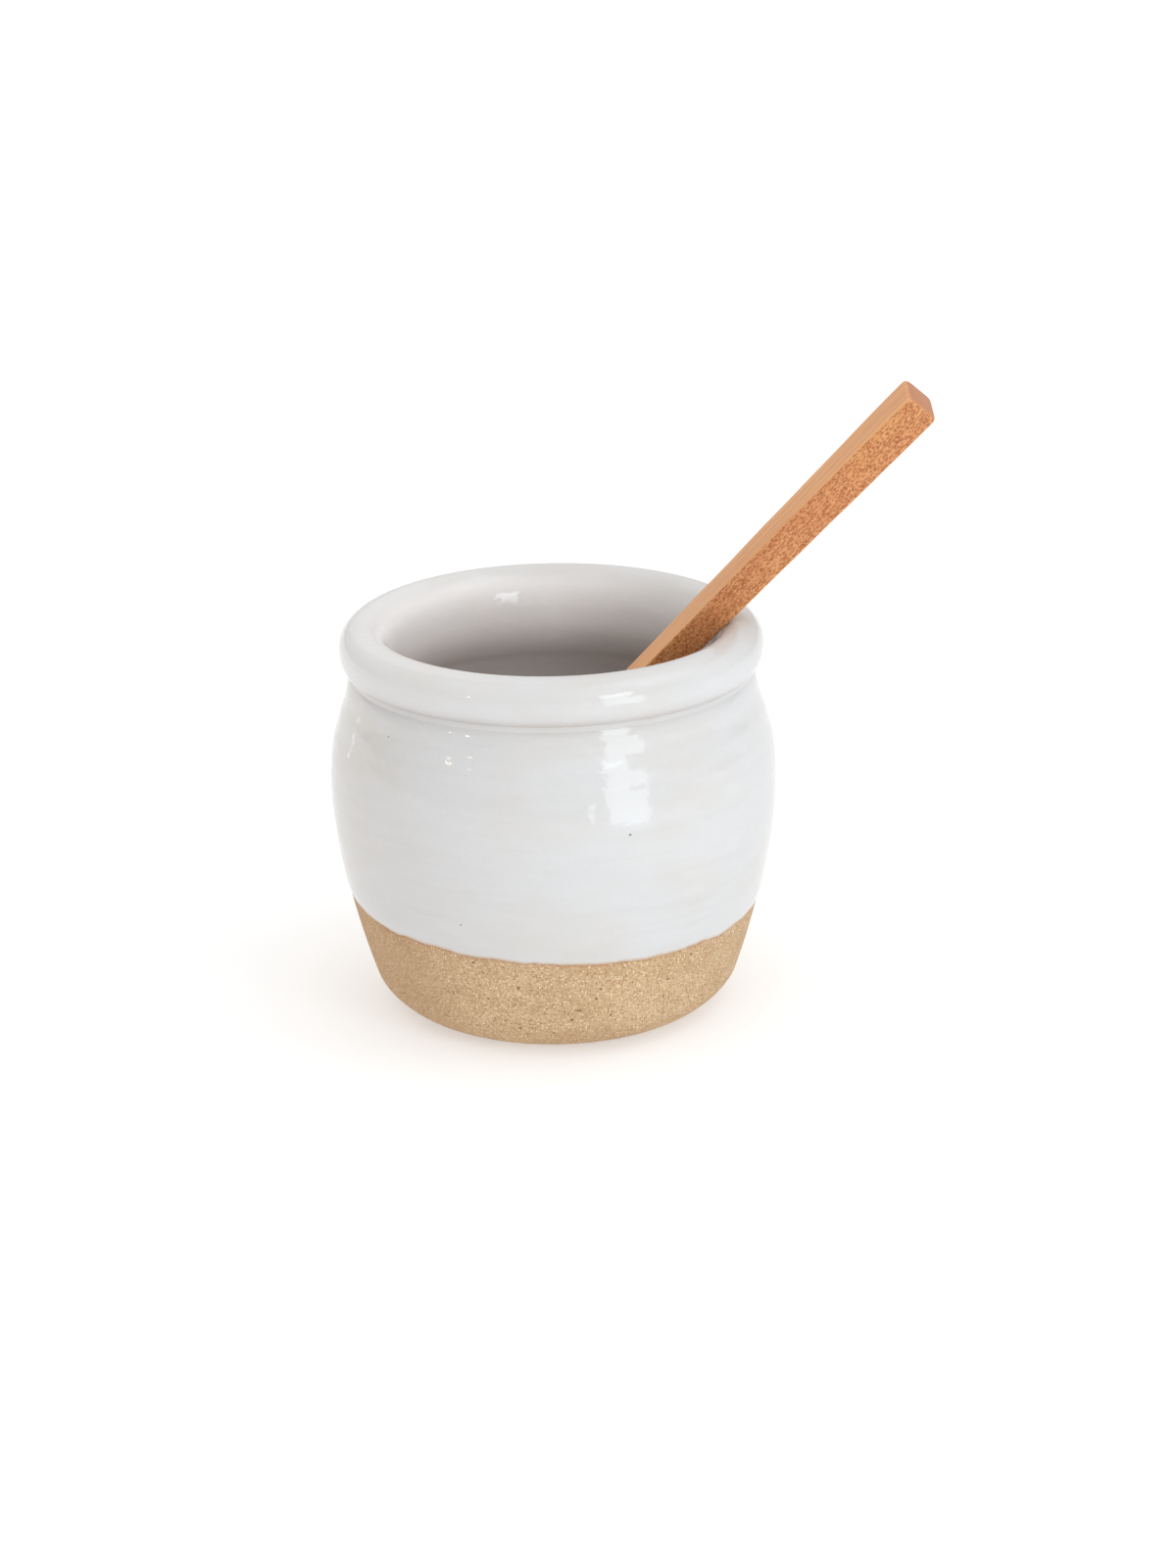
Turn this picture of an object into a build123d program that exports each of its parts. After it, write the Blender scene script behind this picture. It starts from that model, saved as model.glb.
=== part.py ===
from build123d import *
from math import atan, cos, radians, sin, sqrt, tan
import os

# Driving dimensions, in millimetres and degrees. The origin is the middle of the foot,
# +Z runs up the pot's axis, and -Y is the side that faces the viewer.

# Clay pot, outside: the belly's radius, and how far the other places lie inside it
belly_radius = 50.4
foot_inset = 20.0
heel_inset = 9.0
side_inset = 1.8
shoulder_inset = 3.3
neck_inset = 5.0
rim_inset = 2.9

# Clay pot, outside: the height of each place above the one below it
heel_above_foot = 8.0
side_above_heel = 26.7
belly_above_side = 18.5
shoulder_above_belly = 17.8
neck_above_shoulder = 6.2
rim_above_neck = 7.7

# Clay pot, thickness
wall = 5.5
heel_wall = 4.8
floor_thickness = 6.5
rim_width = 10.1
floor_corner_radius = 14.0
neck_crease_radius = 0.7

# Glaze coat. The pot was dipped a little aslant, so the edge falls to +X and rises to +Y.
glaze_thickness = 0.3
glaze_crease_radius = 0.6
dip_height = 27.2
dip_fall_angle = 2.0
dip_rise_angle = 2.4

# Spoon handle, a stick that tapers from its end to the bowl
handle_end_width = 10.9
handle_end_thickness = 8.0
handle_rim_width = 8.5
handle_rim_thickness = 6.7
handle_above_rim = 70.5
handle_edge_radius = 1.2
handle_end_bevel = 0.8

# Spoon bowl, a hollow half egg
bowl_length = 42.0
bowl_width = 25.0
bowl_depth = 6.4
bowl_wall = 2.6
bowl_lip_height = 2.4
bowl_lip_radius = 0.8
shoulder_width = 11.5
shoulder_length = 16.0
shoulder_sink = 5.5

# How the spoon stands: it leans on the rim and its toe rests low on the opposite wall
lean_angle = 47.25
lean_azimuth = -10.0
handle_roll = 15.1
rest_azimuth = -6.6
rest_clearance = 0.3
toe_clearance = 0.4

# Radii and heights that follow
foot_radius = belly_radius - foot_inset
heel_radius = belly_radius - heel_inset
side_radius = belly_radius - side_inset
shoulder_radius = belly_radius - shoulder_inset
neck_radius = belly_radius - neck_inset
rim_radius = belly_radius - rim_inset
inner_radius = belly_radius - wall
side_height = heel_above_foot + side_above_heel
belly_height = side_height + belly_above_side
shoulder_height = belly_height + shoulder_above_belly
neck_height = shoulder_height + neck_above_shoulder
rim_height = neck_height + rim_above_neck

# The rolled rim is round in section
rim_half_width = rim_width / 2
rim_middle = rim_radius - rim_half_width


def half_section(skin, crease_radius):
    """The pot's half section in arcs that run on into each other, a skin larger all over."""
    foot = (foot_radius + skin, 0)
    heel = (heel_radius + skin, heel_above_foot)
    side = (side_radius + skin, side_height)
    belly = (belly_radius + skin, belly_height)
    shoulder = (shoulder_radius + skin, shoulder_height)
    neck = (neck_radius + skin, neck_height)
    rim_outside = (rim_radius + skin, rim_height)
    lip = (rim_radius - rim_width - skin, rim_height)
    inner_belly = (inner_radius - skin, belly_height)
    throat = ((lip[0] + inner_belly[0]) / 2, (rim_height + belly_height) / 2)
    floor_corner = (heel_radius - heel_wall - skin, floor_thickness + skin)
    with BuildSketch(Plane.XZ) as section:
        with BuildLine():
            upper_side = TangentArc(belly, side, tangent=(0, -1))
            lower_side = TangentArc(side, heel, tangent=upper_side % 1)
            TangentArc(heel, foot, tangent=lower_side % 1)
            Polyline(foot, (0, 0), (0, floor_thickness + skin), floor_corner)
            TangentArc(inner_belly, floor_corner, tangent=(0, -1))
            lower_throat = TangentArc(inner_belly, throat, tangent=(0, 1))
            TangentArc(throat, lip, tangent=lower_throat % 1)
            CenterArc((rim_middle, rim_height), rim_half_width + skin, 0, 180)
            TangentArc(rim_outside, neck, tangent=(0, -1))
            upper_belly = TangentArc(belly, shoulder, tangent=(0, 1))
            TangentArc(shoulder, neck, tangent=upper_belly % 1)
        make_face()
        fillet(section.vertices().sort_by_distance(neck)[0], crease_radius)
        fillet(section.vertices().sort_by_distance(floor_corner)[0], floor_corner_radius)
    return section


clay_section = half_section(0, neck_crease_radius)
glazed_section = half_section(glaze_thickness, glaze_crease_radius)


# Stoneware body: one thrown piece of clay

with BuildPart() as stoneware_body:
    add(clay_section.sketch)
    revolve(axis=Axis.Z)


# White glaze: one coat over the outside, the rim and the inside. The bare foot is cut away
# by an outline that runs inside the clay, so that the glaze inside the pot stays whole.

dip_reach = belly_radius * (tan(radians(dip_fall_angle)) + tan(radians(dip_rise_angle)))
dip_low = dip_height - dip_reach
dip_line = Axis((0, dip_height, 0), (1, 0, 0))
wall_crossings = [
    point.X
    for edge in clay_section.edges()
    for point in edge.find_intersection_points(dip_line)
]
middle_of_wall = sum(wall_crossings) / len(wall_crossings)
beyond = belly_radius + wall
dip_plane = Plane(
    origin=(0, 0, dip_height),
    z_dir=(tan(radians(dip_fall_angle)), -tan(radians(dip_rise_angle)), 1),
)

with BuildPart() as white_glaze:
    with BuildSketch(Plane.XZ):
        add(glazed_section.sketch_local)
        add(clay_section.sketch_local, mode=Mode.SUBTRACT)
        with BuildLine():
            Polyline(
                (0, -wall),
                (beyond, -wall),
                (beyond, dip_low),
                (middle_of_wall, dip_low),
                (heel_radius - heel_wall / 2, heel_above_foot),
                (foot_radius, floor_thickness / 2),
                (0, floor_thickness / 2),
                close=True,
            )
        make_face(mode=Mode.SUBTRACT)
    revolve(axis=Axis.Z)
    with BuildSketch(dip_plane):
        Circle(beyond)
        Circle(middle_of_wall, mode=Mode.SUBTRACT)
    extrude(amount=-2 * dip_reach, mode=Mode.SUBTRACT)


# Where the spoon stands


def standing(direction):
    """A direction of the flat spoon, turned as the spoon stands in the pot."""
    rolled = direction.rotate(Axis.X, handle_roll)
    return rolled.rotate(Axis.Y, -lean_angle).rotate(Axis.Z, lean_azimuth)


along = standing(Vector(1, 0, 0))
across = standing(Vector(0, 1, 0))
face = standing(Vector(0, 0, 1))

# The handle's lower near edge touches the rim where the rim's surface runs along the handle
rest_outward = Vector(1, 0, 0).rotate(Axis.Z, rest_azimuth)
rest_slope = atan(rest_outward.dot(along) / along.Z)
rest_normal = Vector(0, 0, sin(rest_slope)) - rest_outward * cos(rest_slope)
rim_centre = rest_outward * rim_middle + Vector(0, 0, rim_height)

# The handle's middle there, from its rounded edge
rim_to_edge = rim_half_width + glaze_thickness + rest_clearance + handle_edge_radius
edge_middle = rim_centre + rest_normal * rim_to_edge
handle_middle = (
    edge_middle
    + across * (handle_rim_width / 2 - handle_edge_radius)
    + face * (handle_rim_thickness / 2 - handle_edge_radius)
)

# The spoon reaches down from there until its toe is a clearance short of the glazed wall
toe_height = bowl_lip_height - bowl_lip_radius
toe_ray = Axis(handle_middle + face * toe_height, -along)
wall_hits = [
    (point - toe_ray.position).dot(toe_ray.direction)
    for skin in white_glaze.part.faces()
    for point, normal in skin.find_intersection_points(toe_ray)
]
spoon_reach = min(distance for distance in wall_hits if distance > 0) - toe_clearance


def handle_plane(distance):
    """The plane square to the handle, at a distance up the handle from where it rests."""
    return Plane(origin=handle_middle + along * distance, x_dir=across, z_dir=along)


# The bowl's back and hollow are parts of two eggs with one axis, above the bowl's lip
half_width = bowl_width / 2
hollow_radius = (half_width**2 - bowl_wall**2 + bowl_depth**2) / (2 * (bowl_wall + bowl_depth))
back_radius = hollow_radius + bowl_wall
axis_above_lip = hollow_radius - bowl_depth
back_half_length = bowl_length / 2 / sqrt(1 - (axis_above_lip / back_radius) ** 2)
hollow_half_length = (bowl_length / 2 - bowl_wall) / sqrt(1 - (axis_above_lip / hollow_radius) ** 2)

# The rounded lip draws the toe in a little
toe_half_length = back_half_length * sqrt(1 - ((axis_above_lip + bowl_lip_radius) / back_radius) ** 2)
bowl_middle = toe_half_length - spoon_reach
neck_start = bowl_middle + bowl_length / 2
shoulder_top = neck_start + shoulder_length

bowl_plane = Plane(
    origin=handle_middle + along * bowl_middle + face * (bowl_lip_height + axis_above_lip),
    x_dir=along,
    z_dir=-across,
)
bowl_axis = Axis(bowl_plane.origin, along)
lip_plane = Plane(origin=handle_middle + face * bowl_lip_height, x_dir=along, z_dir=face)


def handle_section(distance, bevel=0):
    """The handle's rounded section, at a distance up the handle from where it rests."""
    share = distance / handle_above_rim
    with BuildSketch(handle_plane(distance)) as section:
        RectangleRounded(
            handle_rim_width + (handle_end_width - handle_rim_width) * share - 2 * bevel,
            handle_rim_thickness + (handle_end_thickness - handle_rim_thickness) * share - 2 * bevel,
            handle_edge_radius,
        )
    return section.sketch


def egg(half_length, radius):
    """A solid egg on the bowl's axis."""
    with BuildPart() as solid:
        with BuildSketch(bowl_plane):
            Ellipse(half_length, radius)
            Rectangle(2 * half_length, 2 * radius, align=(Align.CENTER, Align.MIN), mode=Mode.SUBTRACT)
        revolve(axis=bowl_axis)
    return solid.part


hollow_egg = egg(hollow_half_length, hollow_radius)
back_egg = egg(back_half_length, back_radius)
wall_middle_egg = egg((hollow_half_length + back_half_length) / 2, (hollow_radius + back_radius) / 2)


# Shoulder of the spoon, from the middle of the bowl's wall to the handle

with BuildPart() as shoulder:
    with BuildSketch(handle_plane(neck_start - shoulder_sink)):
        RectangleRounded(shoulder_width, 2 * toe_height, toe_height / 2)
    add(handle_section(shoulder_top))
    loft()
    add(wall_middle_egg, mode=Mode.SUBTRACT)


# Wooden spoon: bowl, shoulder and handle carved from one stick

with BuildPart() as wooden_spoon:
    add(back_egg)
    split(bisect_by=lip_plane, keep=Keep.BOTTOM)
    add(hollow_egg, mode=Mode.SUBTRACT)
    fillet(wooden_spoon.faces().filter_by(GeomType.PLANE).edges(), bowl_lip_radius)
    add(shoulder.part)
    add(handle_section(shoulder_top))
    add(handle_section(handle_above_rim - handle_end_bevel))
    loft()
    add(handle_section(handle_above_rim - handle_end_bevel))
    add(handle_section(handle_above_rim, bevel=handle_end_bevel))
    loft()

os.makedirs("parts", exist_ok=True)
stoneware_body.part.label = "stoneware_body"
export_step(stoneware_body.part, "parts/stoneware_body.step")
white_glaze.part.label = "white_glaze"
export_step(white_glaze.part, "parts/white_glaze.step")
wooden_spoon.part.label = "wooden_spoon"
export_step(wooden_spoon.part, "parts/wooden_spoon.step")
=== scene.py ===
"""Looks of an open stoneware pot with a loose wooden spoon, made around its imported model.

The shapes are worked out in millimetres and scaled to metres as their meshes are made. The pot's
axis is +Z from the middle of its foot, and the viewer stands at -Y.
"""

from bisect import bisect
from functools import cache, partial
from math import atan2, copysign, cos, exp, hypot, pi, radians, sin, sqrt, tau

import bmesh
import bpy
from mathutils import Euler, Matrix, Vector, noise
from mathutils.geometry import interpolate_bezier


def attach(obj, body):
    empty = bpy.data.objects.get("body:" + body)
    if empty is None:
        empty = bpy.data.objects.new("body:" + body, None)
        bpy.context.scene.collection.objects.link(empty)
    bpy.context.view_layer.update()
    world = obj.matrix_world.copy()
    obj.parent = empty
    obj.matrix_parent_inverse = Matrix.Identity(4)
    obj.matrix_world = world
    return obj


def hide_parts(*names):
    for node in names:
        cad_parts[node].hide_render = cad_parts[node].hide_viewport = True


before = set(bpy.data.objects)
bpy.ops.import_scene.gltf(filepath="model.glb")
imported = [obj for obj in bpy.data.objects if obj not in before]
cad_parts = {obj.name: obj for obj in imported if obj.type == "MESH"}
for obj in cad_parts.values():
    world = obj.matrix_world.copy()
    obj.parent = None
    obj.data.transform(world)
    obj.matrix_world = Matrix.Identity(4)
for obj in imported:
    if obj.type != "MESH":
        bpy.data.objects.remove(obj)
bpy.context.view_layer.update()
metres = 0.001


# Camera: the photograph's place, with a long lens and no shift

photo_height = 1600
lens_length = 90
sensor_long_side = 36
pixels_per_lens = photo_height * lens_length / sensor_long_side
looks_down = radians(19.837)
camera_roll = radians(-0.908)
camera_distance = 895.9
target_height = 44.0
target_right_pixels = -34.19
target_down_pixels = 27.73

level_up = Vector((0, sin(looks_down), cos(looks_down)))
view_line = Vector((0, cos(looks_down), -sin(looks_down)))
camera_right = Vector((1, 0, 0)) * cos(camera_roll) + level_up * sin(camera_roll)
camera_up = level_up * cos(camera_roll) - Vector((1, 0, 0)) * sin(camera_roll)
pixel = camera_distance / pixels_per_lens
camera_place = (
    Vector((0, 0, target_height))
    - view_line * camera_distance
    - camera_right * target_right_pixels * pixel
    + camera_up * target_down_pixels * pixel
)

camera = bpy.data.objects.new("camera", bpy.data.cameras.new("camera"))
camera.data.lens = lens_length
camera.data.sensor_width = sensor_long_side
camera.data.clip_start = 0.01
turned = Matrix((camera_right, camera_up, -view_line)).transposed().to_4x4()
camera.matrix_world = Matrix.Translation(camera_place * metres) @ turned
bpy.context.scene.collection.objects.link(camera)
bpy.context.scene.camera = camera


# Helpers for shapes


def ease(low, high, value):
    """0 up to low, 1 from high on, and a smooth step between them."""
    share = min(1.0, max(0.0, (value - low) / (high - low)))
    return share * share * (3 - 2 * share)


def between(first, second, share):
    """The value that lies a share of the way from first to second."""
    return first + (second - first) * share


def within(limits, value):
    """0 outside the first and last limit, 1 between the middle two, smooth between them."""
    start, full, fading, end = limits
    return ease(start, full, value) * (1 - ease(fading, end, value))


def polar(point):
    """The turn of a place round the pot's axis, and its distance from the axis."""
    return atan2(point.y, point.x), hypot(point.x, point.y)


def bend(start, start_pull, end_pull, end, count):
    """Points of one smooth curve, which a pull at each end draws out."""
    points = interpolate_bezier(start, start + start_pull, end + end_pull, end, count)
    return [point.to_2d() for point in points]


def arc(start, heading, end, count):
    """Points of the arc that leaves start in a heading and reaches end, and its heading there."""
    chord = end - start
    left = Vector((-heading.y, heading.x))
    turn = 2 * atan2(chord.dot(left), chord.dot(heading))
    centre = start + left * chord.length_squared / (2 * chord.dot(left))
    points = [
        centre + Matrix.Rotation(turn * step / (count - 1), 2) @ (start - centre)
        for step in range(count)
    ]
    return points, Matrix.Rotation(turn, 2) @ heading


def chain(*runs):
    """Runs of points joined end to end, without the first point of each later run."""
    joined = list(runs[0])
    for run in runs[1:]:
        joined.extend(run[1:])
    return joined


def thinned(points, spacing):
    """The points that lie at least a spacing apart, with both ends kept."""
    kept = [points[0]]
    for point in points[1:-1]:
        if (point - kept[-1]).length >= spacing:
            kept.append(point)
    return kept + [points[-1]]


# The pot's section, as (radius, height)

outwards = Vector((1, 0))
upwards = Vector((0, 1))

# Clay, outside: from the foot up to the rim
foot = Vector((30.39, 0))
heel = Vector((41.55, 8.0))
belly = Vector((50.35, 53.04))
neck = Vector((45.35, 77.2))
crease = Vector((44.7, 79.6))
rim_outside = Vector((47.45, 84.9))
rim_top = Vector((42.45, 89.92))
rim_inside = Vector((36.2, 79.0))
heel_heading = Vector((0.347, 1)).normalized()
neck_heading = Vector((-0.235, 1)).normalized()

foot_run = bend(foot, outwards * 5.02, heel_heading * -2.86, heel, count=26)
side_run = bend(heel, heel_heading * 11.62, upwards * -14.53, belly, count=62)
shoulder_run = bend(belly, upwards * 12.47, neck_heading * -11.8, neck, count=34)
crease_run = bend(neck, neck_heading * 1.2, Vector((0.2, -0.5)), crease, count=14)
collar_run = bend(crease, Vector((1.7, 0.6)), upwards * -3.2, rim_outside, count=22)
rim_outer_run = bend(rim_outside, upwards * 2.79, outwards * 2.79, rim_top, count=15)
rim_inner_run = bend(rim_top, outwards * -3.4, upwards * 6.9, rim_inside, count=22)
outside_runs = chain(foot_run, side_run, shoulder_run, crease_run, collar_run)

# Clay, inside: from the rim down to the floor, in arcs that run on into each other
throat = Vector((41.15, 69.05))
inner_belly = Vector((44.9, 53.2))
corner_top = Vector((39.9, 16.7))
floor_edge = Vector((26.4, 6.5))
floor_steps = 12
throat_run, throat_heading = arc(rim_inside, -upwards, throat, count=12)
inner_run, inner_heading = arc(throat, throat_heading, inner_belly, count=14)
inner_side_run, corner_heading = arc(inner_belly, inner_heading, corner_top, count=26)
corner_run = arc(corner_top, corner_heading, floor_edge, count=14)[0]
floor_run = [
    Vector((floor_edge.x * (1 - step / floor_steps), floor_edge.y))
    for step in range(floor_steps + 1)
]
inside_runs = chain(rim_inner_run, throat_run, inner_run, inner_side_run, corner_run, floor_run)

outside_heights = [point.y for point in outside_runs]
outside_depth = 2.5


def radius_at(height):
    """The clay's outside radius at a height."""
    after = min(max(bisect(outside_heights, height), 1), len(outside_runs) - 1)
    lower, upper = outside_runs[after - 1], outside_runs[after]
    share = min(1.0, max(0.0, (height - lower.y) / (upper.y - lower.y)))
    return between(lower.x, upper.x, share)


def lies_outside(radius, height):
    """Whether a place is on the pot's outside, less than half a wall deep."""
    return radius > radius_at(height) - outside_depth


# Glaze: where its edge runs, and how thick it lies. The pot was dipped a little aslant, and the
# glaze crept in waves, which are given as their fineness, their seed and their rise.

glaze_thickness = 0.3
glaze_edge_thickness = 0.08
glaze_edge_width = 3
glaze_height = 27.25
glaze_falls = 0.035
glaze_rises = 0.042
glaze_waves = [(2.6, 4.0, 0.5), (9.0, 9.0, 0.42), (26.0, 2.0, 0.16)]


@cache
def glaze_line(turn):
    """The height of the glaze's edge at a turn round the pot."""
    x, y = cos(turn), sin(turn)
    height = glaze_height + radius_at(glaze_height) * (glaze_rises * y - glaze_falls * x)
    for fineness, seed, rise in glaze_waves:
        height += rise * noise.noise(Vector((fineness * x, fineness * y, seed)))
    return height


# Soft rolls that the potter's tool left on the shoulder, as height, spread and rise
shoulder_rolls = [(70.0, 2.2, 0.2), (76.3, 2.6, 0.3)]
rolls_fade = (77, 81)

# The fingers' finer marks: ridges on an uneven wall outside, and one spiral inside
ridge_heights = (26, 36, 70, 75)
ridge_spacing = 2.3
ridge_fineness = 0.7
ridge_rise = 0.05
uneven_spacing = 9
uneven_fineness = 1.6
uneven_rise = 0.07
spiral_heights = (9, 16, 40, 60)
spiral_spacing = 5.6
spiral_rise = 0.06
next_to_axis = 0.5


def thrown(point, outside):
    """A place on the true pot, moved as the potter's fingers left the clay."""
    turn, radius = polar(point)
    if radius < next_to_axis:
        return point
    out = Vector((point.x, point.y, 0)) / radius
    if not outside:
        spiral = sin(tau * point.z / spiral_spacing + turn)
        return point + out * (within(spiral_heights, point.z) * spiral_rise * spiral)
    uneven_place = (out * uneven_fineness).to_2d()
    ridge_place = (out * ridge_fineness).to_2d()
    uneven = noise.noise(Vector((*uneven_place, point.z / uneven_spacing)))
    ridges = noise.noise(Vector((*ridge_place, point.z / ridge_spacing + turn / tau)))
    marks = (ridge_rise * ridges + uneven_rise * uneven) * within(ridge_heights, point.z)
    rolls = sum(
        rise * exp(-(((point.z - height) / spread) ** 2))
        for height, spread, rise in shoulder_rolls
    )
    return point + out * (marks + rolls * (1 - ease(*rolls_fade, point.z)))


# How meshes are made and put in their places

steps_round = 360
same_place = 0.001
no_length = 0.0005


def spun(section):
    """A closed round mesh from a section that starts and ends on the pot's axis."""
    mesh = bmesh.new()
    line = [mesh.verts.new((point.x, 0, point.y)) for point in section]
    for start, end in zip(line, line[1:]):
        mesh.edges.new((start, end))
    bmesh.ops.spin(
        mesh,
        geom=mesh.verts[:] + mesh.edges[:],
        cent=(0, 0, 0),
        axis=(0, 0, 1),
        angle=tau,
        steps=steps_round,
        use_merge=True,
    )
    bmesh.ops.remove_doubles(mesh, verts=mesh.verts, dist=same_place)
    bmesh.ops.dissolve_degenerate(mesh, edges=mesh.edges, dist=no_length)
    return mesh


def put_in_place(name, mesh, body, node, finish):
    """Makes the mesh a piece in metres, on its body, in the place of a CAD node."""
    bmesh.ops.recalc_face_normals(mesh, faces=mesh.faces)
    bmesh.ops.scale(mesh, vec=(metres, metres, metres), verts=mesh.verts)
    for skin in mesh.faces:
        skin.smooth = True
    data = bpy.data.meshes.new(name)
    mesh.to_mesh(data)
    mesh.free()
    piece = bpy.data.objects.new(name, data)
    bpy.context.scene.collection.objects.link(piece)
    piece.data.materials.append(finish)
    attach(piece, body)
    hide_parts(node)


# Where the spoon stands

spoon_rest = Vector((35.506, -1.586, 91.494))
spoon_angles = Euler((radians(15.1), -radians(47.25), radians(-10.0)), "XYZ")
spoon_turn = spoon_angles.to_matrix()


# Materials. The meshes carry three values for them: the height above the glaze's edge in
# millimetres, and how much painted shade and how much painted light the glaze gets.

above_edge = "above_glaze_edge"
glaze_painted_shade = "glaze_painted_shade"
glaze_painted_light = "glaze_painted_light"

# Iron specks in the glaze, as centre and size, and marks in the clay, as centre, size and angles
iron_specks = [((16.7, -47.8, 55.9), 0.3), ((-20.6, -44.1, 34.0), 0.24)]
clay_marks = [
    ((4.8, -43.1, 12.7), (1.1, 1.0, 0.2), (0, 0.12, 0)),
    ((24.9, -37.2, 17.4), (0.45, 0.45, 0.4), (0, 0, 0)),
    ((27.6, -34.8, 16.1), (0.35, 0.35, 0.35), (0, 0, 0)),
]


class Wire:
    """A value that runs between nodes, so that sums of values are written as plain sums."""

    def __init__(self, nodes, socket):
        self.nodes = nodes
        self.socket = socket

    def maths(self, operation, *values):
        return self.nodes.node("Math", {"operation": operation}, dict(enumerate(values)))

    def __add__(self, other):
        return self.maths("ADD", self, other)

    def __sub__(self, other):
        return self.maths("SUBTRACT", self, other)

    def __rsub__(self, other):
        return self.maths("SUBTRACT", other, self)

    def __mul__(self, other):
        return self.maths("MULTIPLY", self, other)

    __radd__ = __add__
    __rmul__ = __mul__

    def above(self, low, high):
        """0 below low, 1 above high, smooth between them."""
        sockets = {"Value": self, "From Min": low, "From Max": high}
        return self.nodes.node("MapRange", {"interpolation_type": "SMOOTHSTEP"}, sockets)

    def size(self):
        return self.maths("ABSOLUTE", self)

    def at_least(self, other):
        """The larger of two values."""
        return self.maths("MAXIMUM", self, other)


class Nodes:
    """A node tree, and the one way in which its nodes are made."""

    def __init__(self, tree):
        self.tree = tree

    def node(self, kind, settings, sockets, output=0):
        made = self.tree.nodes.new("ShaderNode" + kind)
        for setting, value in settings.items():
            setattr(made, setting, value)
        for socket, value in sockets.items():
            self.set(made.inputs[socket], value)
        return Wire(self, made.outputs[output])

    def set(self, socket, value):
        if isinstance(value, Wire):
            self.tree.links.new(value.socket, socket)
        else:
            socket.default_value = value


class Finish(Nodes):
    """A material for one of the pieces."""

    def __init__(self, name, **constants):
        self.material = bpy.data.materials.new(name)
        self.material.use_nodes = True
        super().__init__(self.material.node_tree)
        self.shader = next(node for node in self.tree.nodes if node.type == "BSDF_PRINCIPLED")
        self.feed(**constants)

    def feed(self, **sockets):
        for socket, value in sockets.items():
            self.set(self.shader.inputs[socket.replace("_", " ")], value)

    def mix(self, share, first, second):
        return self.node("Mix", {"data_type": "RGBA"}, {0: share, 6: first, 7: second}, 2)

    def layered(self, base, *layers):
        """A base colour under layers of colour, each given as its share and its colour."""
        colour = base
        for share, layer in layers:
            colour = self.mix(share, colour, layer)
        return colour

    def carried(self, attribute):
        """A value that the mesh carries."""
        return self.node("Attribute", {"attribute_name": attribute}, {}, "Fac")

    def place(self, size, centre=(0, 0, 0), turned=(0, 0, 0)):
        """Object coordinates from a centre, along turned axes, in steps of a size."""
        sockets = {
            "Vector": self.node("TexCoord", {}, {}, "Object"),
            "Location": [metres * c for c in centre],
            "Rotation": turned,
            "Scale": [metres * s for s in size],
        }
        return self.node("Mapping", {"vector_type": "TEXTURE"}, sockets)

    def cloud(self, place, detail=2.0, rough=0.5):
        sockets = {"Vector": place, "Scale": 1.0, "Detail": detail, "Roughness": rough}
        return self.node("TexNoise", {}, sockets)

    def cells(self, place, output):
        return self.node("TexVoronoi", {}, {"Vector": place, "Scale": 1.0}, output)

    def chance(self, place):
        """A value for each cell, spread evenly from 0 to 1."""
        return self.node("SeparateColor", {}, {0: self.cells(place, "Color")}, "Red")

    def spot(self, centre, size, turned=(0, 0, 0)):
        """1 in one round spot, 0 outside it."""
        place = self.place(size, centre, turned)
        distance = self.node("VectorMath", {"operation": "LENGTH"}, {0: place}, "Value")
        return 1 - distance.above(0.6, 1.1)

    def facing(self, direction):
        """How far the surface faces along a direction, from 0 to 1 either way."""
        sockets = {0: self.node("TexCoord", {}, {}, "Normal"), 1: direction}
        return self.node("VectorMath", {"operation": "DOT_PRODUCT"}, sockets, "Value").size()

    def bump(self, height, strength, depth):
        """Relief of a height from 0 to 1, as deep as a depth."""
        sockets = {"Height": height, "Strength": strength, "Distance": depth * metres}
        return self.node("Bump", {}, sockets)


def tint(red, green, blue):
    """The linear colour of a colour seen as 0 to 255."""
    return [((c / 255 + 0.055) / 1.055) ** 2.4 for c in (red, green, blue)] + [1.0]


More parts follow.
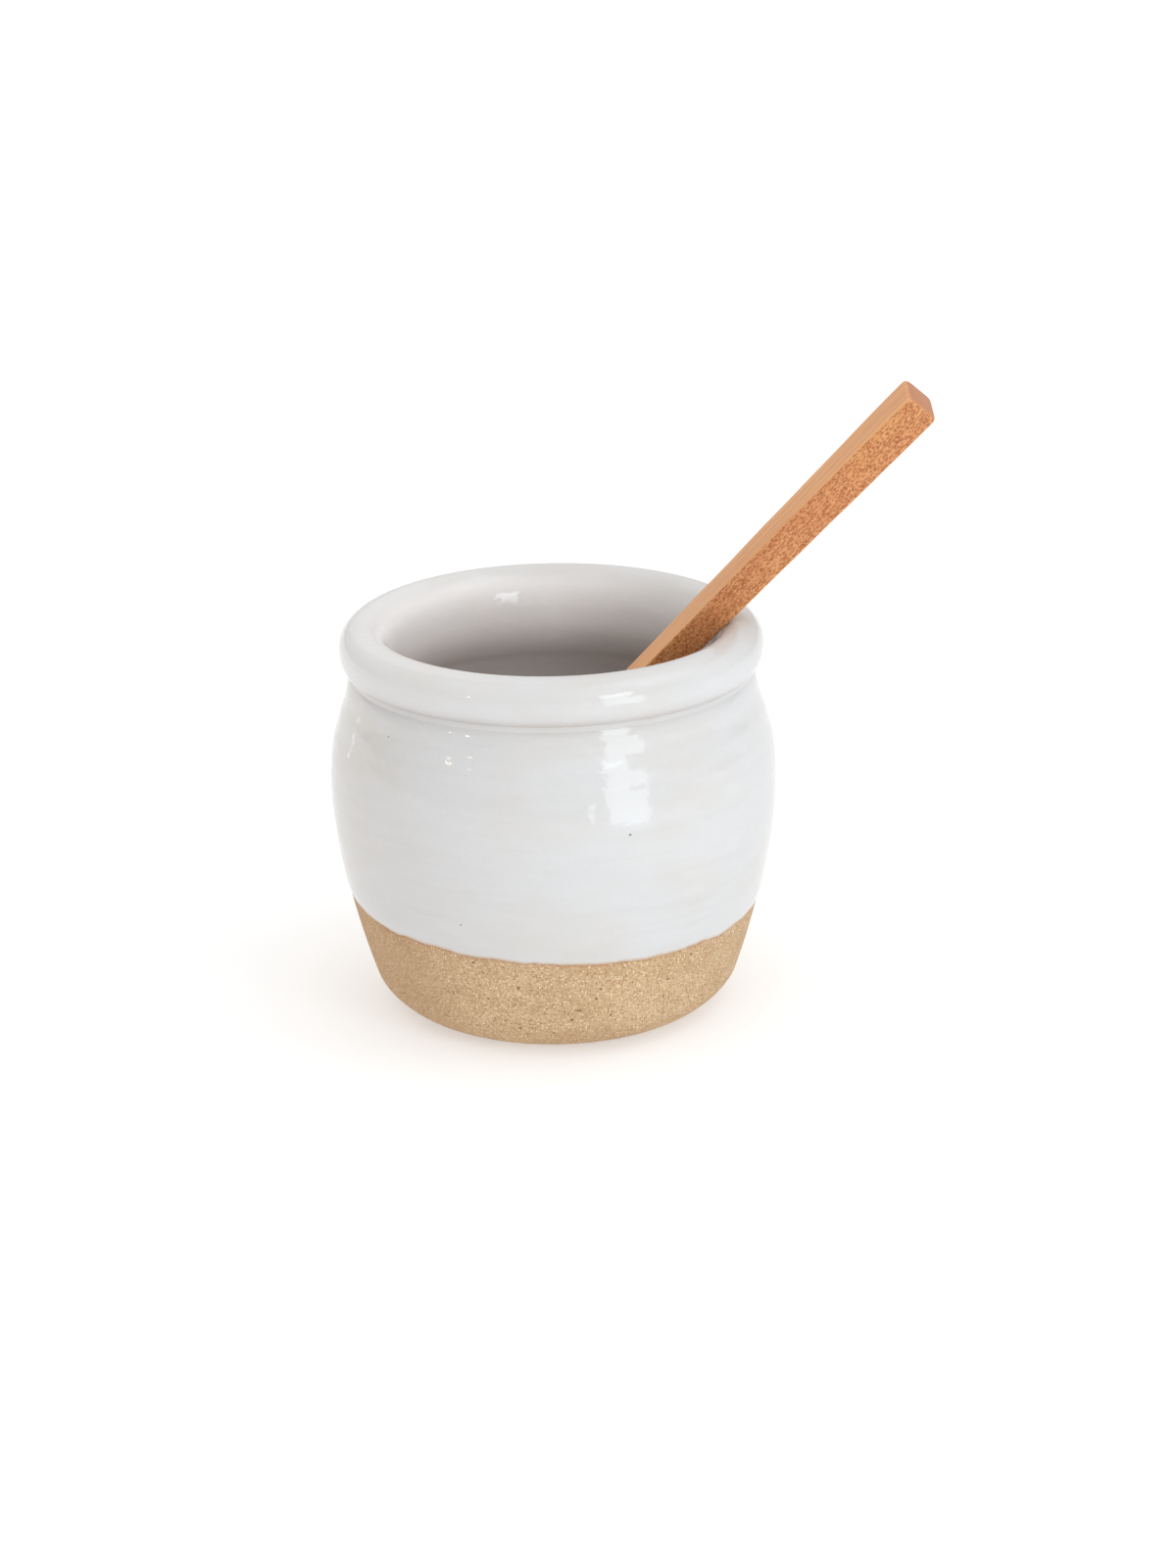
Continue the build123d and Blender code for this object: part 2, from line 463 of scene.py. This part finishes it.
def glaze_finish():
    """Glossy white, brown where it lies thin at its edge, with painted shade, warm and dark, in
    the crease and low inside, and painted light on the rim's left and on the inner walls.
    """
    glaze = Finish("white_glaze", IOR=1.5)
    edge = glaze.carried(above_edge)
    # Painted shade and painted light, as the mesh carries them
    deep = glaze.carried(glaze_painted_shade)
    pale = glaze.carried(glaze_painted_light)
    patches = glaze.cloud(glaze.place((30, 30, 18)), 3.0)
    bands = glaze.cloud(glaze.place((45, 45, 2.2)), 3.0)
    clouds = glaze.cloud(glaze.place((12, 12, 3)), 3.0)
    mottle = glaze.cloud(glaze.place((0.9, 0.9, 0.8)), 4.0, 0.7)
    thin = 1 - (edge + mottle * 0.8 - 0.4).above(0.1, 0.9)
    iron_cells = glaze.place((17, 17, 17))
    iron = 1 - glaze.cells(iron_cells, "Distance").above(0.008, 0.014)
    iron = iron * glaze.chance(iron_cells).above(0.86, 0.88)
    for centre, size in iron_specks:
        iron = iron.at_least(glaze.spot(centre, (size, size, size)))
    colour = glaze.layered(
        tint(208, 208, 209),
        (patches.above(0.36, 0.64), tint(207, 204, 201)),
        (bands.above(0.5, 0.72) * 0.36, tint(200, 197, 195)),
        (clouds.above(0.4, 0.7) * 0.4, tint(214, 213, 215)),
        (mottle.above(0.42, 0.62) * 0.5, tint(207, 206, 206)),
        # Painted light, then painted shade, as the mesh carries them
        (pale * 0.8, tint(242, 239, 238)),
        (deep * 0.35, tint(150, 130, 117)),
        (thin * 0.6, tint(205, 184, 160)),
        (iron * 0.85, tint(96, 84, 76)),
    )
    wobble = glaze.cloud(glaze.place((7, 7, 5)), 2.0)
    ripple = glaze.cloud(glaze.place((1.8, 1.8, 1.5)), 2.0)
    glaze.feed(
        Base_Color=colour,
        Roughness=0.04 + mottle * 0.07,
        Normal=glaze.bump(wobble + ripple * 0.3, strength=1.0, depth=0.12),
    )
    return glaze.material


def clay_finish():
    """Bare fired clay: sandy, with light and dark grains, small pits and a toasted upper edge."""
    clay = Finish("bare_clay", IOR=1.45, Specular_IOR_Level=0.3)
    edge = clay.carried(above_edge)
    patches = clay.cloud(clay.place((13, 13, 8)), 3.0)
    sand = clay.cloud(clay.place((0.55, 0.55, 0.55)), 3.0, 0.7)
    grain_cells = clay.place((0.44, 0.44, 0.44))
    grain = clay.chance(grain_cells)
    round_grain = 1 - clay.cells(grain_cells, "Distance").above(0.3, 0.5)
    light_grain = grain.above(0.78, 0.8) * round_grain
    dark_grain = (1 - grain.above(0.2, 0.22)) * round_grain
    pit_cells = clay.place((3.4, 3.4, 3.4))
    pits = 1 - clay.cells(pit_cells, "Distance").above(0.06, 0.11)
    pits = pits * clay.chance(pit_cells).above(0.45, 0.5)
    for centre, size, turned in clay_marks:
        pits = pits.at_least(clay.spot(centre, size, turned))
    # Painted shade on the clay's lower left side, away from the light
    painted_left_shade = clay.spot((-44, -14, 14), (36, 36, 36))
    halo = (edge + sand * 1.2 + patches * 0.8 - 0.6).above(-0.35, 0.35)
    colour = clay.layered(
        tint(209, 182, 147),
        (patches.above(0.35, 0.7), tint(197, 167, 132)),
        (sand.above(0.45, 0.6), tint(184, 149, 114)),
        (light_grain, tint(245, 225, 188)),
        (dark_grain * 0.85, tint(136, 99, 68)),
        (pits * 0.8, tint(96, 66, 48)),
        # Painted shade on the left side
        (painted_left_shade * 0.3, tint(172, 132, 96)),
        (halo * 0.5, tint(172, 116, 78)),
    )
    relief = sand + round_grain * grain.above(0.5, 1.0) * 0.6 - pits * 1.5
    clay.feed(
        Base_Color=colour,
        Roughness=0.78 + sand * 0.14,
        Normal=clay.bump(relief, strength=0.8, depth=0.14),
    )
    return clay.material


def wood_finish():
    """Oiled wood: growth rings and fibres, and the flecks of its rays on the two sides."""
    wood = Finish("oiled_wood", IOR=1.45)

    def along_spoon(size):
        return wood.place(size, spoon_rest, spoon_angles)

    ray_side = wood.facing(spoon_turn @ Vector((0, 1, 0))).above(0.45, 0.95)
    end_grain = wood.facing(spoon_turn @ Vector((1, 0, 0))).above(0.55, 0.95)
    tone = wood.cloud(along_spoon((30, 14, 5)), 2.0)
    rings = wood.cloud(along_spoon((60, 1.3, 16)), 3.0, 0.6)
    fibre = wood.cloud(along_spoon((7, 0.3, 0.3)), 3.0, 0.6)
    ray_cells = along_spoon((0.9, 8, 0.32))
    drift = wood.cloud(along_spoon((2.2, 6, 1.2)), 2.0)
    between_rays = (wood.cells(ray_cells, "Distance") + (drift - 0.5) * 0.6).above(0.34, 0.62)
    rays = ray_side - ray_side * between_rays
    fleck = wood.mix(wood.chance(ray_cells), tint(176, 98, 46), tint(142, 72, 30))
    colour = wood.layered(
        tint(208, 146, 88),
        (tone.above(0.35, 0.65), tint(201, 136, 79)),
        ((1 - ray_side) * 0.6, tint(234, 180, 130)),
        (rings.above(0.42, 0.62) * 0.5, tint(196, 126, 84)),
        (fibre.above(0.4, 0.66) * 0.5, tint(228, 170, 116)),
        (rays * 0.85, fleck),
        (end_grain * 0.7, tint(176, 108, 74)),
    )
    wood.feed(
        Base_Color=colour,
        Roughness=0.5 + rays * 0.12 - fibre * 0.1,
        Normal=wood.bump(fibre - rays * 0.15, strength=0.5, depth=0.06),
    )
    return wood.material


# The clay body, with few rows where the glaze hides it

hidden_from = 32.0
underside_steps = 24
underside = [Vector((foot.x * step / underside_steps, 0)) for step in range(underside_steps)]
bare = [point for point in outside_runs if point.y < hidden_from]
hidden = [point for point in side_run + shoulder_run[1:] if point.y >= hidden_from]
covered = chain(
    thinned(hidden, spacing=2.5),
    crease_run,
    thinned(collar_run, spacing=0.5),
    thinned(rim_outer_run, spacing=1.2),
)
clay_section = chain(underside + bare + covered, thinned(inside_runs, spacing=1.5))

# A shallow recess under the foot, with the curved marks of the wire that cut the pot off
on_the_ground = 0.01
recess_edge = (foot.x - 6.5, foot.x - 4.5)
recess_depth = 0.12
wire_centre = Vector((-64, 22))
wire_spacing = 3.1
wire_depth = 0.05

body = spun(clay_section)
edge_layer = body.verts.layers.float.new(above_edge)
for corner in body.verts:
    place = corner.co.copy()
    turn, radius = polar(place)
    corner[edge_layer] = place.z - glaze_line(round(turn, 4))
    if place.z < on_the_ground:
        recess = 1 - ease(*recess_edge, radius)
        from_wire = hypot(place.x - wire_centre.x, place.y - wire_centre.y)
        place.z += recess * (recess_depth + wire_depth * sin(tau * from_wire / wire_spacing))
    corner.co = thrown(place, lies_outside(radius, place.z))
put_in_place("clay_body", body, "pot", "stoneware_body", clay_finish())


# The glaze coat, a closed skin that reaches a little into the clay

coat_sink = 0.03
coat_row_spacing = 0.75
coat_row_gap = 0.3
coat_rows = [glaze_height + coat_row_spacing * row for row in range(32)]
edge_moves_below = 48
far_above_edge = 100

# How much painted shade and painted light the coat gets at most, and the heights between which
# that changes
painted_crease_shade = 0.9
crease_rise = 0.5
crease_spread = 1.3
painted_floor_shade = 2.6
painted_wall_shade = 0.5
painted_wall_light = 0.5
painted_rim_light = 0.35
middle_radius = 12.0
outer_rim = (80, 84)
floor_shade_heights = (6.9, 9.5)
above_floor = (8, 14)
lower_wall = (16, 48)
upper_wall = (46, 72)
below_throat = (56, 74)
throat_heights = (74, 86)
inner_rim = (84, 88)
rim_crest = (86.5, 90.2)


def coat_thickness(point):
    """How thick the glaze lies at a place in the section: outside, it thins out to its edge."""
    if not lies_outside(point.x, point.y):
        return glaze_thickness
    share = ease(0, glaze_edge_width, point.y - glaze_height)
    return between(glaze_edge_thickness, glaze_thickness, share)


def skinned(points, thickness):
    """The points moved off the clay by a thickness, which is given for each."""
    moved = []
    for index, point in enumerate(points):
        before = points[max(0, index - 1)]
        after = points[min(len(points) - 1, index + 1)]
        heading = (after - before).normalized()
        moved.append(point + Vector((heading.y, -heading.x)) * thickness[index])
    return moved


def painted_tones_outside(place, radius):
    """Painted shade in the crease under the collar, and painted light on the left of the rim."""
    from_crease = (place.z - crease.y - crease_rise) / crease_spread
    left = max(0.0, -place.x) / radius
    return painted_crease_shade * exp(-(from_crease**2)), painted_rim_light * left * ease(*outer_rim, place.z)


def painted_tones_inside(place, radius):
    """Painted shade inside, warm and dark, most on the floor and at the right, where it also
    stands for the spoon's warm reflection; and painted light on the walls.
    """
    side = place.x / max(middle_radius, radius)
    left, right = max(0.0, -side), max(0.0, side)
    # Painted shade: more at the right and low on the walls, gone towards the rim, most on the
    # floor
    deep = painted_wall_shade * (1 + side - ease(*upper_wall, place.z) * (1 - 0.9 * right))
    deep = max(0.0, deep) * between(0.4, 1, ease(*lower_wall, place.z))
    deep *= 1 - ease(*throat_heights, place.z)
    deep += painted_floor_shade * (1 - ease(*floor_shade_heights, place.z))
    # Painted light: on the walls above the floor and below the throat, not at the right, and on
    # the left of the inner rim
    pale = painted_wall_light * (ease(*above_floor, place.z) + ease(*below_throat, place.z))
    pale *= (1 - ease(*rim_crest, place.z)) * (1 - right)
    pale += painted_wall_light * ease(*inner_rim, place.z) * left
    return deep, pale


glazed_clay = chain(
    [Vector((radius_at(height), height)) for height in coat_rows],
    [point for point in outside_runs if point.y > coat_rows[-1] + coat_row_gap],
    rim_outer_run,
    thinned(inside_runs, spacing=0.4),
)
coat_outside = skinned(glazed_clay, [coat_thickness(point) for point in glazed_clay])
coat_inside = thinned(skinned(glazed_clay, [-coat_sink] * len(glazed_clay)), spacing=3.0)
coat_outside[-1].x = 0
coat_inside[-1].x = 0

coat = spun(coat_inside[::-1] + coat_outside)
edge_layer = coat.verts.layers.float.new(above_edge)
painted_shade_layer = coat.verts.layers.float.new(glaze_painted_shade)
painted_light_layer = coat.verts.layers.float.new(glaze_painted_light)
for corner in coat.verts:
    place = corner.co.copy()
    turn, radius = polar(place)
    outside = lies_outside(radius, place.z)
    # Each corner of the coat carries its painted shade and painted light
    tones = painted_tones_outside if outside else painted_tones_inside
    corner[painted_shade_layer], corner[painted_light_layer] = tones(place, radius)
    corner[edge_layer] = far_above_edge
    if outside and place.z < edge_moves_below:
        edge = glaze_line(round(turn, 4))
        held = 1 - ease(glaze_height, edge_moves_below, place.z)
        moved = place.z + (edge - glaze_height) * held
        radius += radius_at(moved) - radius_at(place.z)
        place = Vector((radius * cos(turn), radius * sin(turn), moved))
        corner[edge_layer] = moved - edge
    corner.co = thrown(place, outside)
put_in_place("glaze_coat", coat, "pot", "white_glaze", glaze_finish())


# Wooden spoon, shaped along its own axis from where it rests on the rim, and then stood in the
# pot. The handle's width and thickness are given at the rim and at its full reach.

handle_end = 68.9
handle_reach = 70.5
handle_width = (8.5, 10.9)
handle_thickness = (6.7, 8.0)
end_radius = 1.3
end_steps = 6
toe = -106.23
bowl_middle = -85.73
bowl_half_length = 21.0
bowl_half_width = 12.5
lip_height = 2.4
lip_radius = 0.8
lip_softness = 0.6
axis_above_lip = 4.18
back_radius = 13.18
back_half_length = 22.14
hollow_radius = 10.58
hollow_half_length = 20.03
shoulder_start = -70.2
shoulder_top = -48.7
shoulder_half_width = 5.75
shoulder_fade = 6
keel_depth = 2.4
keel_start = shoulder_start - 8
keel_full = shoulder_start + 2

# Fullness of the handle's two faces, the dip by the end, and the marks of the carver's knife
face_fullness = 0.1
back_fullness = 0.42
grip = (-30, 5, 22, 52)
grip_fullness = 0.06
end_dip = 0.2
end_dip_stretch = (56, 70)
carving_spacing = 11
carving_depth = 0.09

# Powers that make the section round or square, in the bowl and in the handle
back_powers = (1.65, 8.65)
face_powers = (8, 12)
stick_bunching = 0.8

toe_sections = 40
section_spacing = 0.9
corners_round = 96


def grown(sizes, distance):
    """Half of the handle's width or thickness, which grows evenly towards the end."""
    return between(*sizes, distance / handle_reach) / 2


def egg_radius(radius, half_length, from_middle):
    """How wide an egg is at a distance from its middle, with 0 beyond its ends."""
    return radius * sqrt(max(0.0, 1 - (from_middle / half_length) ** 2))


def merged(first, second, power):
    """The larger of two sizes, with a soft change from one to the other."""
    return (first**power + second**power) ** (1 / power)


def crown(share, power):
    """How high a rounded square stands at a share of its half width."""
    return max(0.0, 1 - share**power) ** (1 / power)


def spoon_section(distance):
    """Half width, middle height, rise, drop and squareness of the spoon's section."""
    from_middle = distance - bowl_middle
    shoulder = ease(shoulder_start, shoulder_top, distance)
    stick = ease(shoulder_start, shoulder_top + shoulder_fade, distance)

    width = grown(handle_width, distance)
    if distance < shoulder_top:
        share = max(0.0, (distance - shoulder_start) / (shoulder_top - shoulder_start))
        width = between(shoulder_half_width, grown(handle_width, shoulder_top), share)
    width *= ease(shoulder_start - shoulder_fade, shoulder_start, distance)
    bowl_width = egg_radius(bowl_half_width, bowl_half_length, from_middle)

    height = grown(handle_thickness, distance)
    fullness = face_fullness + grip_fullness * within(grip, distance)
    fullness -= end_dip * ease(*end_dip_stretch, distance)
    rise = between(lip_radius, height + fullness, shoulder)

    egg_back = egg_radius(back_radius, back_half_length, from_middle)
    back = max(0.0, egg_back - axis_above_lip - lip_radius)
    keel = keel_depth * (ease(keel_start, keel_full, distance) - shoulder)
    handle_back = height * ease(shoulder_start - shoulder_fade, shoulder_top, distance) + keel
    drop = merged(back, handle_back, power=4) + back_fullness * shoulder

    middle = (lip_height - lip_radius) * (1 - shoulder)
    return merged(bowl_width, width, power=5), middle, rise, drop, stick


def spoon_point(distance, turn):
    """A place on the spoon's skin, before the spoon is stood in the pot."""
    width, middle, rise, drop, stick = spoon_section(distance)
    share = abs(cos(turn)) ** (1 - stick_bunching * stick)
    y = copysign(width * share, cos(turn))
    knife = noise.noise(Vector((distance / carving_spacing, cos(turn), sin(turn))))
    carved = knife * carving_depth * stick
    if sin(turn) < 0:
        bottom = middle - (drop + carved) * crown(share, between(*back_powers, stick))
        return Vector((distance, y, bottom))
    top = middle + (rise + carved) * crown(share, between(*face_powers, stick))
    from_middle = distance - bowl_middle
    if abs(from_middle) < hollow_half_length:
        reach = egg_radius(hollow_radius, hollow_half_length, from_middle)
        hollow = sqrt(max(0.0, reach**2 - y**2)) - axis_above_lip
        top -= (hollow + sqrt(hollow**2 + lip_softness**2)) / 2
    return Vector((distance, y, top))


def end_point(angle, turn):
    """A place on the handle's rounded end, at an angle from its side over to its face."""
    width, middle, rise, drop, stick = spoon_section(handle_end)
    inset = end_radius * (1 - cos(angle))
    place = spoon_point(handle_end, turn)
    place.y *= 1 - inset / width
    place.z *= 1 - inset / rise
    place.x = handle_end - end_radius * (1 - sin(angle))
    return place


def stations():
    """Where the spoon's sections lie along it: close together at the toe, then evenly apart."""
    places = [
        toe + bowl_half_length * (1 - cos(pi / 2 * step / toe_sections))
        for step in range(1, toe_sections + 1)
    ]
    while places[-1] < handle_end - end_radius - section_spacing:
        places.append(places[-1] + section_spacing)
    return places


def ring_of(mesh, place_at):
    """A ring of corners, each moved to the place at its turn."""
    ring = bmesh.ops.create_circle(mesh, segments=corners_round, radius=1)["verts"]
    for corner in ring:
        corner.co = place_at(atan2(corner.co.y, corner.co.x))
    return ring


spoon = bmesh.new()
rings = [ring_of(spoon, partial(spoon_point, station)) for station in stations()]
for step in range(1, end_steps + 1):
    rings.append(ring_of(spoon, partial(end_point, pi / 2 * step / end_steps)))
ring_edges = [
    list(dict.fromkeys(edge for corner in ring for edge in corner.link_edges)) for ring in rings
]
for first, second in zip(ring_edges, ring_edges[1:]):
    bmesh.ops.bridge_loops(spoon, edges=first + second)
for ring in (rings[0], rings[-1]):
    bmesh.ops.contextual_create(spoon, geom=ring)
bmesh.ops.rotate(spoon, verts=spoon.verts, matrix=spoon_turn)
bmesh.ops.translate(spoon, verts=spoon.verts, vec=spoon_rest)
put_in_place("spoon", spoon, "spoon", "wooden_spoon", wood_finish())


# Stage: a plain pale floor and soft studio light

floor_half_side = 6
floor_grey = 0.62
floor_glow = 0.42
floor = bpy.data.objects.new("floor", bpy.data.meshes.new("floor"))
sheet = bmesh.new()
bmesh.ops.create_grid(sheet, x_segments=1, y_segments=1, size=floor_half_side)
sheet.to_mesh(floor.data)
sheet.free()
bpy.context.scene.collection.objects.link(floor)
pale_floor = Finish(
    "pale_floor",
    Roughness=0.9,
    Base_Color=(floor_grey, floor_grey, floor_grey, 1.0),
    Specular_IOR_Level=0.0,
    Emission_Color=(1.0, 1.0, 1.0, 1.0),
    Emission_Strength=floor_glow,
)
floor.data.materials.append(pale_floor.material)

# A soft studio sky, brighter overhead than round about
horizon_light = 0.6
overhead_light = 1.2
world = bpy.data.worlds.new("studio")
world.use_nodes = True
sky = Nodes(world.node_tree)
background = sky.tree.nodes["Background"]
looked_at = sky.node("TexCoord", {}, {}, "Generated")
sky_height = sky.node("SeparateXYZ", {}, {0: looked_at}, "Z")
sky_light = {"Value": sky_height, "To Min": horizon_light, "To Max": overhead_light}
sky.set(background.inputs["Strength"], sky.node("MapRange", {}, sky_light))
sky.set(background.inputs["Color"], (1.0, 0.99, 0.975, 1.0))
bpy.context.scene.world = world
bpy.context.scene.view_settings.view_transform = "Standard"

# The lamps, as name, turn from the viewer to the right, lowest and highest edge, width,
# distance, brightness and colour
daylight = (0.85, 0.94, 1.0)
warm_white = (1.0, 0.98, 0.95)
lamplight = (1.0, 0.74, 0.46)
aim_height = 52
lamps = [
    ("window_low", 35.6, 2, 127, 118, 330, 2.7, daylight),
    ("window_high", 31.1, 127, 174, 80, 330, 2.8, daylight),
    ("window_top", 33.5, 174, 245, 98, 330, 4.6, daylight),
    ("window_strip", 18, 5, 90, 14, 330, 2.8, daylight),
    ("key", 80, 900, 1900, 900, 900, 0.9, daylight),
    ("behind_left", -125, 4, 40, 12, 500, 2.0, warm_white),
    ("lamp_left", -56.1, 266, 282, 16, 800, 60.0, lamplight),
    ("lamp_right", -44.3, 236, 252, 16, 800, 50.0, lamplight),
]


def soft_box(name, turn, low, high, width, distance, brightness, colour):
    """A flat lamp that shines at the pot and that the camera doesn't see."""
    data = bpy.data.lights.new(name, "AREA")
    data.shape = "RECTANGLE"
    data.size = width * metres
    data.size_y = (high - low) * metres
    data.color = colour
    data.energy = brightness * pi * width * (high - low) * metres**2
    lamp = bpy.data.objects.new(name, data)
    right, towards_viewer = sin(radians(turn)) * distance, cos(radians(turn)) * distance
    place = Vector((right, -towards_viewer, (low + high) / 2))
    aim = (place - Vector((0, 0, aim_height))).to_track_quat("Z", "Y").to_matrix().to_4x4()
    lamp.matrix_world = Matrix.Translation(place * metres) @ aim
    lamp.visible_camera = False
    bpy.context.scene.collection.objects.link(lamp)


for lamp in lamps:
    soft_box(*lamp)
